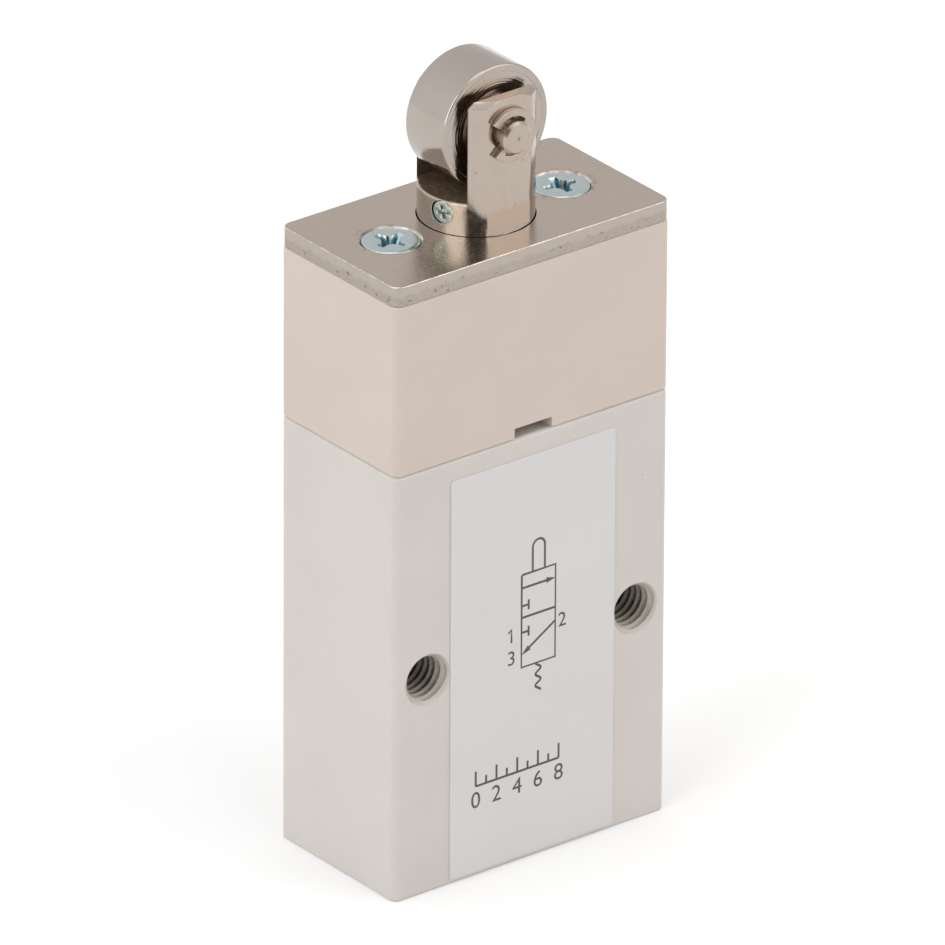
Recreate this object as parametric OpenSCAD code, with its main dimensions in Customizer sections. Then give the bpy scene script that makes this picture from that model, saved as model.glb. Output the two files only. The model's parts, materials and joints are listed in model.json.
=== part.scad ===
// Roller plunger air valve: a three-port spool valve worked by a sprung plunger with a roller.
// The origin is the middle of the underside, +Z is up and the label faces -Y. Sizes are in mm.

/* [Body] */
// Width of the valve body, the head and the plate
body_w = 31.5; // [30:0.5:38]
// Depth of the valve body, the head and the plate
body_d = 17.2; // [16.2:0.1:22]
// Height of the valve body
body_h = 43; // [42:0.5:50]
// Radius of the upright edges
corner_r = 0.8; // [0.6:0.1:1.5]
// Rounding of the edge round the underside
foot_r = 0.25; // [0.1:0.05:0.5]
// Rounding of the edge under the head
shoulder_r = 0.4; // [0.1:0.05:0.5]

/* [Head] */
// Height of the head housing
head_h = 17; // [16.5:0.5:22]
// Thickness of the head's floor
head_floor_t = 3; // [2:0.25:3.5]
// Rounding of the head's lower and upper edges
head_edge_r = 0.2; // [0.1:0.05:0.4]
// Width of the vent notch at the front of the head
notch_w = 4.3; // [3:0.1:6]
// Height of the vent notch
notch_h = 1.1; // [0.6:0.1:1.6]

/* [Plate] */
// Thickness of the top plate
plate_t = 2; // [1.6:0.1:3]
// Corner radius of the top plate
plate_corner_r = 1; // [0.6:0.1:2]
// Rounding of the plate's edges
plate_edge_r = 0.1; // [0.05:0.05:0.4]
// Distance between the two plate screws
screw_pitch = 19.5; // [19:0.5:22]
// Thread diameter of the plate screws
screw_d = 3; // [2.5:0.5:3]
// Head diameter of the plate screws
screw_head_d = 5.5; // [5:0.1:6]
// Length of the plate screws, head included
screw_l = 25; // [22:1:28]
// Length of the cross recess in the plate screws
recess_l = 3.4; // [2.6:0.1:3.6]
// Width of the arms of the cross recess
recess_w = 0.75; // [0.5:0.05:1]
// Depth of the cross recess
recess_depth = 0.9; // [0.6:0.1:1.2]

/* [Mounting holes] */
// Distance between the two mounting holes
mount_pitch = 24; // [22:0.5:25]
// Height of the mounting holes
mount_h = 21.7; // [20.5:0.1:22.5]
// Outside diameter of the mounting thread
mount_d = 5; // [4:0.5:5]
// Chamfer at the mouths of the mounting holes
mount_mouth = 0.05; // [0.05:0.05:0.3]

/* [Ports] */
// Outside diameter of the port thread
port_d = 9.73; // [8:0.1:10.5]
// Depth of a port
port_depth = 4.5; // [3.8:0.1:4.8]
// Distance from port to port
port_pitch = 13; // [12:0.25:13.5]
// Diameter of the way from a port to the spool
port_way_d = 4.2; // [3:0.1:5]
// Chamfer at the mouths of the ports
port_mouth = 0.3; // [0.1:0.05:0.5]

/* [Plunger] */
// Diameter of the roller fork
fork_d = 10.8; // [10:0.1:11]
// Distance across the two flats of the fork
fork_flats = 9.64; // [9:0.02:9.9]
// Height of the flats' lower ends over the plate
flat_foot_h = 0.1; // [0.05:0.05:0.5]
// Width of the slot between the ears
slot_w = 7.4; // [7.2:0.1:7.8]
// Height of the slot's floor over the plate
slot_floor_h = 3.25; // [3.2:0.05:3.5]
// Height of the ears over the plate
ear_h = 13.2; // [12.5:0.1:14]
// Turned chamfer on top of the ears
ear_chamfer = 0.35; // [0.1:0.05:0.5]
// Travel of the plunger
stroke = 3.2; // [2.4:0.1:3.2]
// Diameter of the core's skirt, which runs in the head
skirt_d = 13.4; // [13:0.1:13.6]
// Length of the skirt
skirt_h = 8; // [6:0.25:9]
// Wall of the skirt
skirt_wall = 0.9; // [0.6:0.05:0.9]
// Thickness of the core's top
core_top_t = 2; // [1.5:0.1:2.5]
// Diameter of the spigot that carries the fork
spigot_d = 6; // [5:0.1:7]
// Diameter of the core's push rod
rod_d = 4; // [3.4:0.1:4.6]
// Head diameter of the side screw
side_screw_head_d = 2.1; // [1.8:0.05:2.2]
// Shank diameter of the side screw
side_screw_d = 1.4; // [1:0.1:1.5]
// Height of the side screw over the plate
side_screw_h = 2.05; // [1.9:0.05:2.1]
// Angle of the side screw from -X towards -Y
side_screw_angle = 16; // [0:1:30]

/* [Roller] */
// Diameter of the roller
roller_d = 12; // [10:0.1:12.4]
// Width of the roller
roller_w = 5.6; // [4.6:0.1:5.8]
// Rounding of the roller's edges
roller_edge_r = 0.3; // [0.1:0.05:0.6]
// Height of the roller's axle over the plate
axle_h = 9.6; // [9.5:0.05:10]
// Diameter of the axle
axle_d = 3.2; // [3:0.1:3.6]
// Length of the axle
axle_l = 12.4; // [12:0.1:13]
// Chamfer at the axle's ends
axle_chamfer = 0.25; // [0.1:0.05:0.4]
// Wall of the roller's bush
bush_wall = 0.9; // [0.6:0.1:1.2]
// Diameter of the side washers
washer_d = 6.4; // [6.4:0.1:7.6]
// Outside diameter of the axle clips
clip_d = 5.2; // [5:0.1:6.4]
// Thickness of the axle clips
clip_t = 0.6; // [0.4:0.05:0.7]
// Diameter of the axle's grooves
clip_seat_d = 2.5; // [2.2:0.1:2.7]
// Direction of the clips' open side, from +X towards +Z
clip_angle = 184; // [0:1:359]

/* [Spool] */
// Diameter of the spool's bore
spool_bore_d = 6; // [5.6:0.1:6.4]
// Diameter of the spool's neck
spool_neck_d = 3.2; // [2.6:0.1:3.4]
// Diameter of the spool's ring grooves
ring_groove_d = 3.7; // [3.5:0.1:4]
// Width of the spool's ring grooves
ring_groove_w = 1.4; // [1.3:0.05:1.6]
// Diameter of the ring spaces at the ports
gallery_d = 7.4; // [6.8:0.1:7.6]
// Height of the ring spaces at the ports
gallery_h = 4; // [3.6:0.1:4.2]
// How far a closing seal ring goes past the edge of a ring space
seal_lap = 1.2; // [0.9:0.05:1.3]

/* [Springs] */
// Outside diameter of the plunger spring
plunger_spring_d = 11; // [10:0.1:11.1]
// Wire of the plunger spring
plunger_spring_wire = 1; // [0.6:0.1:1]
// Turns of the plunger spring
plunger_spring_turns = 6; // [4:1:7]
// Outside diameter of the spool spring
spool_spring_d = 5; // [4.8:0.05:5.2]
// Wire of the spool spring
spool_spring_wire = 0.5; // [0.4:0.05:0.6]
// Turns of the spool spring
spool_spring_turns = 11; // [8:1:14]

/* [Bottom plug] */
// Diameter of the bottom plug
plug_d = 8.4; // [8:0.1:9]
// Height of the bottom plug
plug_h = 2; // [1.8:0.05:2.1]
// Thickness of the plug's retaining ring
plug_clip_t = 0.8; // [0.6:0.05:0.9]
// Depth of the retaining ring over the underside
plug_clip_z = 0.6; // [0.4:0.05:0.65]
// Radial depth of the retaining ring's groove
plug_clip_groove = 0.5; // [0.3:0.05:0.6]
// Wire diameter of the plug's seal ring
plug_ring_d = 1; // [0.8:0.05:1.1]
// Depth of the spring's seat in the plug
spring_seat_h = 0.9; // [0.7:0.05:1]

/* [Label] */
// Width of the label
label_w = 18.9; // [15:0.1:18.9]
// Height of the label
label_h = 40.5; // [30:0.5:41]
// Thickness of the label
label_t = 0.12; // [0.08:0.02:0.2]
// Corner radius of the label
label_r = 0.4; // [0.3:0.1:2]
// Height of the label's lower edge
label_z = 0.45; // [0.3:0.05:1]

/* [Fits] */
// Radial clearance of the fork in the plate
plate_gap = 0.1; // [0.1:0.05:0.4]
// Radial clearance of a part that slides or turns in another
running_gap = 0.05; // [0.03:0.01:0.1]
// Clearance between parts that are fixed together
seat_gap = 0.02; // [0.01:0.01:0.05]
// Radial clearance round a screw's thread
thread_gap = 0.05; // [0.02:0.01:0.1]
// Radial clearance of the plate screws in the head and the plate
screw_gap = 0.2; // [0.1:0.05:0.3]
// Clearance of the plunger's upper stop
stop_gap = 0.1; // [0.05:0.05:0.2]

/* [Hidden] */
$fn = 96;
// How far a cut runs past the face that it opens
over = 0.1;

head_z = body_h;
plate_z = head_z + head_h;
top_z = plate_z + plate_t;
chamber_z = head_z + head_floor_t;
chamber_d = skirt_d + 2 * running_gap;

// The middle port lies at the body's middle height
mid_z = body_h / 2;
port_zs = [for (n = [1, 0, -1]) mid_z + n * port_pitch];

// Plate screws
screw_xs = [-screw_pitch / 2, screw_pitch / 2];
// Depth of the screw heads under the plate's face
screw_sink = 0.12;
screw_rim = 0.05;
sink_gap = 0.03;
screw_top_z = top_z - screw_sink;
screw_hole_extra = 1;
recess_core_d = recess_l * 0.5;

// Plunger
core_z = plate_z - stop_gap;
slot_z = top_z + slot_floor_h;
ear_z = top_z + ear_h;
socket_web = 0.4;
spigot_z = slot_z - socket_web;
rod_gap = 0.5;
spool_top_over = 1.5;
spool_top_z = head_z + spool_top_over;
rim_break = 0.18;
side_screw_z = top_z + side_screw_h;
// Depth of the side screw's head in the fork
side_screw_sink = 0.05;
side_screw_head_t = 0.7;
side_screw_bite = 0.9;
cross_w = 0.4;
cross_l = 1.35;
cross_depth = 0.45;

// Roller
axle_z = top_z + axle_h;
bush_d = axle_d + 2 * running_gap + 2 * bush_wall;
washer_t = (slot_w - roller_w) / 2 - 2 * running_gap;
clip_y = fork_flats / 2 + seat_gap;
clip_relief_d = clip_seat_d + (clip_d - clip_seat_d) * 0.48;
clip_open = 39;
clip_tooth = 38;
dimple_d = 0.3;

// Spool, with its rings at rest: the upper one keeps the air out of the head, the middle one closes
// the way from the upper port, and the lower one closes the way to the lower port after the stroke
land_gap = 0.1;
land_d = spool_bore_d - 2 * land_gap;
ring_d = (spool_bore_d - ring_groove_d) / 2 - running_gap / 2 - seat_gap;
ring_mean_r = ring_groove_d / 2 + seat_gap + ring_d / 2;
gallery_half = gallery_h / 2;
upper_ring_z = port_zs[0] + gallery_half + seal_lap + stroke;
middle_ring_z = port_zs[1] + gallery_half + seal_lap;
lower_ring_z = port_zs[1] - gallery_half - seal_lap + stroke;
ring_zs = [upper_ring_z, middle_ring_z, lower_ring_z];
land_end = 0.9;
upper_land_zs = [upper_ring_z - land_end - ring_groove_w / 4, upper_ring_z + land_end + ring_groove_w / 4];
middle_land_zs = [lower_ring_z - land_end, middle_ring_z + land_end];
tail_overlap = 1;
spool_tail_z = port_zs[2] + gallery_half - tail_overlap;

// Bottom plug
plug_z = plug_clip_z + plug_clip_t + 2 * seat_gap;
plug_pocket_h = plug_z + plug_h + seat_gap;
plug_pocket_d = plug_d + 2 * seat_gap;
plug_clip_d = plug_pocket_d + 2 * plug_clip_groove;
plug_clip_w = 1;
plug_clip_open = 28;
lug_d = 1.9;
lug_hole_d = 0.8;
plug_groove_d = plug_d - 2 * plug_ring_d + 2 * seat_gap;
plug_ring_z = plug_z + plug_h / 2;
plug_hole_d = 2.5;
plug_hole_h = 0.5;
spring_seat_z = plug_z + plug_h - spring_seat_h;
spring_side_gap = 0.2;
spring_seat_d = spool_spring_d + 2 * spring_side_gap;

// Shared shapes

module rounded_rect(w, d, r) {
    square([w - 2 * r, d], center = true);
    square([w, d - 2 * r], center = true);
    for (x = [-1, 1], y = [-1, 1])
        translate([x * (w / 2 - r), y * (d / 2 - r)])
            circle(r);
}

// Section of a slab of length l and height r with its outer upper edge rounded
module edge_section(l, r) {
    square([l - r, r]);
    translate([l - r, 0])
        intersection() {
            circle(r);
            square(r);
        }
}

// Layer of height edge whose upper rim is rounded all the way round
module rim_layer(w, d, r, edge) {
    for (x = [0, 1], y = [0, 1])
        mirror([x, 0, 0])
            mirror([0, y, 0])
                translate([w / 2 - r, d / 2 - r, 0])
                    rotate_extrude(angle = 90)
                        edge_section(r, edge);
    rotate([90, 0, 90])
        linear_extrude(w - 2 * r, center = true) {
            edge_section(d / 2, edge);
            mirror([1, 0])
                edge_section(d / 2, edge);
        }
    for (x = [0, 1])
        mirror([x, 0, 0])
            translate([w / 2 - r, 0, 0])
                rotate([90, 0, 0])
                    linear_extrude(d - 2 * r, center = true)
                        edge_section(r, edge);
}

// Upright block with rounded edges, standing on z = 0
module rounded_block(w, d, h, r, low_edge, high_edge) {
    translate([0, 0, low_edge])
        linear_extrude(h - low_edge - high_edge)
            rounded_rect(w, d, r);
    translate([0, 0, h - high_edge])
        rim_layer(w, d, r, high_edge);
    translate([0, 0, low_edge])
        mirror([0, 0, 1])
            rim_layer(w, d, r, low_edge);
}

// Round bar along Z
module bar(z0, z1, d) {
    translate([0, 0, z0])
        cylinder(h = z1 - z0, d = d);
}

// Ring along Z, centred on height z
module band(z, h, d_in, d_out) {
    translate([0, 0, z])
        rotate_extrude()
            translate([d_in / 2, -h / 2])
                square([(d_out - d_in) / 2, h]);
}

module o_ring(z, mean_r, wire) {
    translate([0, 0, z])
        rotate_extrude()
            translate([mean_r, 0])
                circle(d = wire);
}

// Round bar along Y
module cross_bar(x, z, y0, y1, d0, d1) {
    translate([x, y0, z])
        rotate([-90, 0, 0])
            cylinder(h = y1 - y0, d1 = d0, d2 = d1);
}

// Flat wedge from the middle outwards
module wedge(a0, a1, r) {
    steps = 8;
    polygon(concat(
        [[0, 0]],
        [for (n = [0:steps]) let (a = a0 + (a1 - a0) * n / steps) r * [cos(a), sin(a)]]
    ));
}

// Height of a spring's wire over its seat, with one closed turn at each end
function coil_rise(turn, turns, wire, h) =
    let (closed = wire * 1.05, low = wire / 2, high = h - wire / 2)
    turn < 1 ? low + closed * turn :
    turn > turns - 1 ? high - closed * (turns - turn) :
    low + closed + (high - low - 2 * closed) * (turn - 1) / (turns - 2);

module coil_spring(outer_d, wire, turns, h, steps = 16, sides = 8) {
    mean_r = (outer_d - wire) / 2;
    rings = turns * steps;
    points = [
        for (i = [0:rings])
            let (turn = i / steps, a = 360 * turn, z = coil_rise(turn, turns, wire, h))
            for (j = [0:sides - 1])
                let (b = 360 * j / sides, r = mean_r + wire / 2 * cos(b))
                [r * cos(a), r * sin(a), z + wire / 2 * sin(b)]
    ];
    walls = [
        for (i = [0:rings - 1], j = [0:sides - 1])
            let (k = (j + 1) % sides)
            [i * sides + j, i * sides + k, (i + 1) * sides + k, (i + 1) * sides + j]
    ];
    ends = [
        [for (j = [sides - 1:-1:0]) j],
        [for (j = [0:sides - 1]) rings * sides + j]
    ];
    polyhedron(points, concat(walls, ends));
}

// Housing

module port_cut(z) {
    back = body_d / 2;
    floor_y = back - port_depth;
    cross_bar(0, z, floor_y, back + over, port_d, port_d);
    cross_bar(0, z, back - port_mouth, back + over, port_d, port_d + 2 * (port_mouth + over));
    cross_bar(0, z, 0, floor_y + over, port_way_d, port_way_d);
    bar(z - gallery_half, z + gallery_half, gallery_d);
}

module mounting_hole(x) {
    half = body_d / 2;
    wide = mount_d + 2 * (mount_mouth + over);
    cross_bar(x, mount_h, -half - over, half + over, mount_d, mount_d);
    cross_bar(x, mount_h, -half - over, -half + mount_mouth, wide, mount_d);
    cross_bar(x, mount_h, half - mount_mouth, half + over, mount_d, wide);
}

module valve_body() {
    screw_hole_z = screw_top_z - screw_l - screw_hole_extra;
    color("#d3cbc5")
        difference() {
            rounded_block(body_w, body_d, body_h, corner_r, foot_r, shoulder_r);
            bar(-over, body_h + over, spool_bore_d);
            bar(-over, plug_pocket_h, plug_pocket_d);
            band(plug_clip_z + plug_clip_t / 2, plug_clip_t + 2 * seat_gap, plug_d / 2, plug_clip_d);
            for (z = port_zs)
                port_cut(z);
            for (s = [-1, 1])
                mounting_hole(s * mount_pitch / 2);
            for (x = screw_xs)
                translate([x, 0, 0])
                    bar(screw_hole_z, body_h + over, screw_d + 2 * thread_gap);
        }
}

module head_housing() {
    color("#d9cabd")
        difference() {
            translate([0, 0, head_z])
                rounded_block(body_w, body_d, head_h, corner_r, head_edge_r, head_edge_r);
            bar(chamber_z, plate_z + over, chamber_d);
            bar(head_z - over, plate_z, rod_d + 2 * rod_gap);
            for (x = screw_xs)
                translate([x, 0, 0])
                    bar(head_z - over, plate_z + over, screw_d + 2 * screw_gap);
            translate([-notch_w / 2, -body_d / 2 - over, head_z - over])
                cube([notch_w, body_d / 2 + over, notch_h + over]);
        }
}

module top_plate() {
    clear_d = screw_d + 2 * screw_gap;
    sink_d = screw_head_d + 2 * (screw_sink + screw_rim + sink_gap);
    sink_h = (sink_d - clear_d) / 2;
    color("#b9b0a8")
        difference() {
            translate([0, 0, plate_z])
                rounded_block(body_w, body_d, plate_t, plate_corner_r, plate_edge_r, plate_edge_r);
            bar(plate_z - over, top_z + over, fork_d + 2 * plate_gap);
            for (x = screw_xs)
                translate([x, 0, 0]) {
                    bar(plate_z - over, top_z + over, clear_d);
                    translate([0, 0, top_z - sink_h])
                        cylinder(h = sink_h + over, d1 = clear_d, d2 = sink_d + 2 * over);
                }
        }
}

module plate_screw() {
    cone_h = (screw_head_d - screw_d) / 2;
    difference() {
        union() {
            bar(screw_top_z - screw_rim, screw_top_z, screw_head_d);
            translate([0, 0, screw_top_z - screw_rim - cone_h])
                cylinder(h = cone_h, d1 = screw_d, d2 = screw_head_d);
            bar(screw_top_z - screw_l, screw_top_z - screw_rim - cone_h, screw_d);
        }
        translate([0, 0, screw_top_z - recess_depth])
            linear_extrude(recess_depth + over) {
                circle(d = recess_core_d);
                for (a = [0, 90])
                    rotate(a)
                        square([recess_l, recess_w], center = true);
            }
    }
}

module plate_screws() {
    color("#b7c0c4")
        for (x = screw_xs)
            translate([x, 0, 0])
                plate_screw();
}

module label() {
    color("#dcdad7")
        translate([0, -body_d / 2, label_z + label_h / 2])
            rotate([90, 0, 0])
                linear_extrude(label_t)
                    rounded_rect(label_w, label_h, label_r);
}

// Plunger

// Places a shape that points along +X at the side screw, facing outwards
module at_side_screw() {
    translate([0, 0, side_screw_z])
        rotate(180 + side_screw_angle)
            children();
}

// Side screw's outline with a clearance all round: head, shank and tip
module side_screw_shape(gap, head_r) {
    seat_r = fork_d / 2 - side_screw_head_t;
    tip_r = spigot_d / 2 - side_screw_bite;
    rotate([0, 90, 0]) {
        bar(seat_r - gap, head_r, side_screw_head_d + 2 * gap);
        bar(tip_r - gap, seat_r, side_screw_d + 2 * gap);
    }
}

// Bar stock of the fork, turned to size
module fork_blank() {
    rotate_extrude()
        polygon([
            [0, core_z],
            [fork_d / 2, core_z],
            [fork_d / 2, ear_z - ear_chamfer],
            [fork_d / 2 - ear_chamfer, ear_z],
            [0, ear_z]
        ]);
}

module slot_space() {
    translate([-fork_d, -slot_w / 2, slot_z - rim_break])
        cube([2 * fork_d, slot_w, ear_h]);
}

module roller_fork() {
    color("#bdb4ac")
        difference() {
            fork_blank();
            translate([-fork_d, -slot_w / 2, slot_z])
                cube([2 * fork_d, slot_w, ear_h]);
            intersection() {
                slot_space();
                rotate_extrude()
                    polygon([
                        [fork_d / 2 - rim_break, slot_z],
                        [fork_d / 2, slot_z - rim_break],
                        [fork_d / 2 + over, slot_z - rim_break],
                        [fork_d / 2 + over, slot_z]
                    ]);
            }
            for (s = [0, 1])
                mirror([0, s, 0])
                    translate([-fork_d, fork_flats / 2, top_z + flat_foot_h])
                        cube([2 * fork_d, fork_d, ear_h]);
            cross_bar(0, axle_z, -fork_d, fork_d, axle_d + 2 * seat_gap, axle_d + 2 * seat_gap);
            bar(core_z - over, spigot_z + seat_gap, spigot_d + 2 * seat_gap);
            at_side_screw()
                side_screw_shape(thread_gap, fork_d / 2 + over);
        }
}

module plunger_core() {
    skirt_z = core_z - skirt_h;
    color("#4a4541")
        difference() {
            union() {
                difference() {
                    bar(skirt_z, core_z, skirt_d);
                    bar(skirt_z - over, core_z - core_top_t, skirt_d - 2 * skirt_wall);
                }
                bar(spool_top_z + stop_gap, core_z, rod_d);
                bar(core_z, spigot_z, spigot_d);
            }
            at_side_screw()
                side_screw_shape(thread_gap, fork_d / 2 + over);
        }
}

module side_screw() {
    head_r = fork_d / 2 - side_screw_sink;
    color("#b7c0c4")
        at_side_screw()
            difference() {
                side_screw_shape(0, head_r);
                translate([head_r - cross_depth, 0, 0])
                    for (a = [0, 90])
                        rotate([a, 0, 0])
                            translate([0, -cross_l / 2, -cross_w / 2])
                                cube([cross_depth + over, cross_l, cross_w]);
            }
}

module plunger_spring() {
    color("#a7a7a3")
        translate([0, 0, chamber_z + seat_gap])
            coil_spring(plunger_spring_d, plunger_spring_wire, plunger_spring_turns,
                core_z - core_top_t - chamber_z - 2 * seat_gap);
}

// Roller

module roller() {
    r = roller_d / 2;
    color("#bbb3ab")
        translate([0, 0, axle_z])
            rotate([90, 0, 0])
                difference() {
                    union() {
                        bar(-roller_w / 2 + roller_edge_r, roller_w / 2 - roller_edge_r, roller_d);
                        for (s = [0, 1])
                            mirror([0, 0, s])
                                translate([0, 0, roller_w / 2 - roller_edge_r])
                                    rotate_extrude()
                                        edge_section(r, roller_edge_r);
                    }
                    bar(-roller_w, roller_w, bush_d + 2 * seat_gap);
                }
}

module roller_bush() {
    color("#a8835a")
        translate([0, 0, axle_z])
            rotate([90, 0, 0])
                band(0, roller_w, axle_d + 2 * running_gap, bush_d);
}

module roller_axle() {
    half = axle_l / 2;
    r = axle_d / 2;
    color("#bdb4ac")
        translate([0, 0, axle_z])
            rotate([90, 0, 0])
                difference() {
                    rotate_extrude()
                        polygon([
                            [0, -half],
                            [r - axle_chamfer, -half],
                            [r, -half + axle_chamfer],
                            [r, half - axle_chamfer],
                            [r - axle_chamfer, half],
                            [0, half]
                        ]);
                    for (s = [-1, 1]) {
                        band(s * (clip_y + clip_t / 2), clip_t + 2 * seat_gap, clip_seat_d, axle_d + over);
                        translate([0, 0, s * half])
                            sphere(d = dimple_d);
                    }
                }
}

module axle_washers() {
    color("#b3aca5")
        for (s = [-1, 1])
            translate([0, s * (slot_w / 2 - running_gap - washer_t / 2), axle_z])
                rotate([90, 0, 0])
                    band(0, washer_t, axle_d + 2 * seat_gap, washer_d);
}

// Flat outline of an axle clip, open towards +X, with three teeth that grip the axle's groove
module clip_outline() {
    difference() {
        circle(d = clip_d);
        circle(d = clip_seat_d + 2 * seat_gap);
        wedge(-clip_open, clip_open, clip_d);
        intersection() {
            circle(d = clip_relief_d);
            for (s = [-1, 1])
                wedge(s * (clip_open + clip_tooth / 2), s * (180 - clip_tooth), clip_d);
        }
    }
}

module axle_clips() {
    color("#bfb7b0")
        for (s = [-1, 1])
            translate([0, s * (clip_y + clip_t / 2), axle_z])
                rotate([90, 0, 0])
                    linear_extrude(clip_t, center = true)
                        rotate(clip_angle)
                            clip_outline();
}

// Spool

module spool() {
    color("#c2c4c6")
        difference() {
            union() {
                bar(spool_tail_z, upper_land_zs[0], spool_neck_d);
                bar(middle_land_zs[0], middle_land_zs[1], land_d);
                bar(upper_land_zs[0], upper_land_zs[1], land_d);
                bar(upper_land_zs[1], spool_top_z, rod_d);
            }
            for (z = ring_zs)
                band(z, ring_groove_w, ring_groove_d, spool_bore_d);
        }
}

module spool_rings() {
    color("#2b2a29")
        for (z = ring_zs)
            o_ring(z, ring_mean_r, ring_d);
}

module spool_spring() {
    color("#a7a7a3")
        translate([0, 0, spring_seat_z + seat_gap])
            coil_spring(spool_spring_d, spool_spring_wire, spool_spring_turns,
                middle_land_zs[0] - spring_seat_z - 2 * seat_gap, 14);
}

// Bottom plug

module bottom_plug() {
    color("#c9a45c")
        difference() {
            bar(plug_z, plug_z + plug_h, plug_d);
            bar(spring_seat_z, plug_z + plug_h + over, spring_seat_d);
            band(plug_ring_z, plug_ring_d + 2 * seat_gap, plug_groove_d - 2 * seat_gap, plug_d + over);
            bar(plug_z - over, plug_z + plug_hole_h, plug_hole_d);
        }
}

module plug_ring() {
    color("#2b2a29")
        o_ring(plug_ring_z, (plug_d - plug_ring_d) / 2, plug_ring_d);
}

module plug_clip() {
    outer_d = plug_clip_d - 2 * seat_gap;
    inner_d = plug_pocket_d - 2 * plug_clip_w;
    lug_r = inner_d / 2 - lug_d / 5;
    color("#6d6a67")
        translate([0, 0, plug_clip_z])
            linear_extrude(plug_clip_t)
                difference() {
                    union() {
                        difference() {
                            circle(d = outer_d);
                            circle(d = inner_d);
                            wedge(-plug_clip_open / 2, plug_clip_open / 2, outer_d);
                        }
                        for (s = [-1, 1])
                            rotate(s * plug_clip_open)
                                translate([lug_r, 0])
                                    circle(d = lug_d);
                    }
                    for (s = [-1, 1])
                        rotate(s * plug_clip_open)
                            translate([lug_r, 0])
                                circle(d = lug_hole_d);
                }
}

valve_body();
head_housing();
top_plate();
plate_screws();
label();
roller_fork();
plunger_core();
side_screw();
plunger_spring();
roller();
roller_bush();
roller_axle();
axle_washers();
axle_clips();
spool();
spool_rings();
spool_spring();
bottom_plug();
plug_ring();
plug_clip();
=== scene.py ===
"""Dresses the packed roller plunger air valve: threads, screws, roller, springs, label print and finishes."""
import json
from math import atan2, ceil, cos, hypot, radians, sin, sqrt, tau

import bpy
from bpy.props import FloatProperty, FloatVectorProperty, IntProperty, PointerProperty
from mathutils import Matrix, Vector


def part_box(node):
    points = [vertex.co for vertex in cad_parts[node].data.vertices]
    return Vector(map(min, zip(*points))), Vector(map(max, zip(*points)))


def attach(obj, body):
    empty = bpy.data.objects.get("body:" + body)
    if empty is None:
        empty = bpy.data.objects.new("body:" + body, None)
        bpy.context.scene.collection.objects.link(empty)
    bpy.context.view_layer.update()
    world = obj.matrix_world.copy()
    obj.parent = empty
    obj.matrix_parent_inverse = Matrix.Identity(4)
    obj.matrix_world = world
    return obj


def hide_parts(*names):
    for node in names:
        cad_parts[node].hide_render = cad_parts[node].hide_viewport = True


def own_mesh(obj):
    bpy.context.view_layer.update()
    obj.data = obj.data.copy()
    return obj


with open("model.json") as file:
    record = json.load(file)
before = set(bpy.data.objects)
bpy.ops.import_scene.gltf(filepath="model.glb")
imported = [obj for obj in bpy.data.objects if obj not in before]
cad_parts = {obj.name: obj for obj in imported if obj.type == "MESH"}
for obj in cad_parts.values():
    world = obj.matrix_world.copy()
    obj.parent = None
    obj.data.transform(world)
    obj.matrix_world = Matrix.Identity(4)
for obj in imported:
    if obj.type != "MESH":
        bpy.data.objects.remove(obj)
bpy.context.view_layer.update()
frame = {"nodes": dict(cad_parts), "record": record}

bl_info = {
    "name": "Roller plunger air valve",
    "version": (1, 0, 0),
    "blender": (4, 5, 0),
    "location": "View3D > Sidebar > Air Valve",
    "description": "Dresses the packed frame of a roller plunger air valve",
    "category": "Object",
}

MM = 0.001
MERGE = 1e-7
HOUSING, PLUNGER, WHEEL = "housing", "plunger", "wheel"


def middle(node):
    """Middle of a CAD node's box."""
    low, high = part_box(node)
    return (low + high) / 2


def extent(node):
    """Sizes of a CAD node's box along X, Y and Z."""
    low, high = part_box(node)
    return high - low


PLATE_LOW, PLATE_TOP = (corner.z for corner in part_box("top_plate"))
FRONT, BACK = (corner.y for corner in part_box("valve_body"))
LABEL_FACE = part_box("label")[0].y
AXLE = middle("roller")
SIDE_SCREW = middle("side_screw")
SCREW_X = (extent("plate_screws").x - extent("plate_screws").y) / 2
SLOT_HALF = extent("axle_washers").y / 2 + 0.1 * MM
SLOT_FLOOR = PLATE_TOP + 3.25 * MM
# Centre and axis of turned pieces
ROUND_AXLE = (AXLE, (0, 1, 0))
ROUND_VALVE = ((0, 0, 0), (0, 0, 1))
# Turns of the screws' recesses, in degrees
LEFT_TURN, RIGHT_TURN, SIDE_TURN = 17, -8, 12
# A thread's own attribute: 0 on its crests, 1 in its oily roots, MOUTH on its countersunk ends
ROOT = "root"
MOUTH = -0.35
# A thread's own attribute: 0 on its crests, 1 in its roots, which get the darkest painted shade, MOUTH on its
# countersunk ends
MID = (0.3, 0.7)
WHITE, WARM_WHITE, DARK_ROOM = (1, 1, 1), (1, 0.98, 0.95), (0.06, 0.055, 0.05)


# Settings


def length(name, description, default_mm, least_mm=0):
    """A length property whose default and least value are given in millimetres."""
    return FloatProperty(
        name=name, description=description, default=default_mm * MM, min=least_mm * MM,
        unit="LENGTH", precision=5,
    )


def angle(name, description, degrees):
    """An angle property whose default is given in degrees."""
    return FloatProperty(name=name, description=description, default=radians(degrees), subtype="ANGLE")


def level(name, description, default):
    """A plain number property."""
    return FloatProperty(name=name, description=description, default=default, min=0)


def count(name, description, default):
    """A property that counts steps or turns."""
    return IntProperty(name=name, description=description, default=default, min=3)


def colour(name, description, *values):
    """A colour property, in linear values."""
    return FloatVectorProperty(
        name=name, description=description, default=values, size=3, min=0, max=1, subtype="COLOR"
    )


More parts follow.
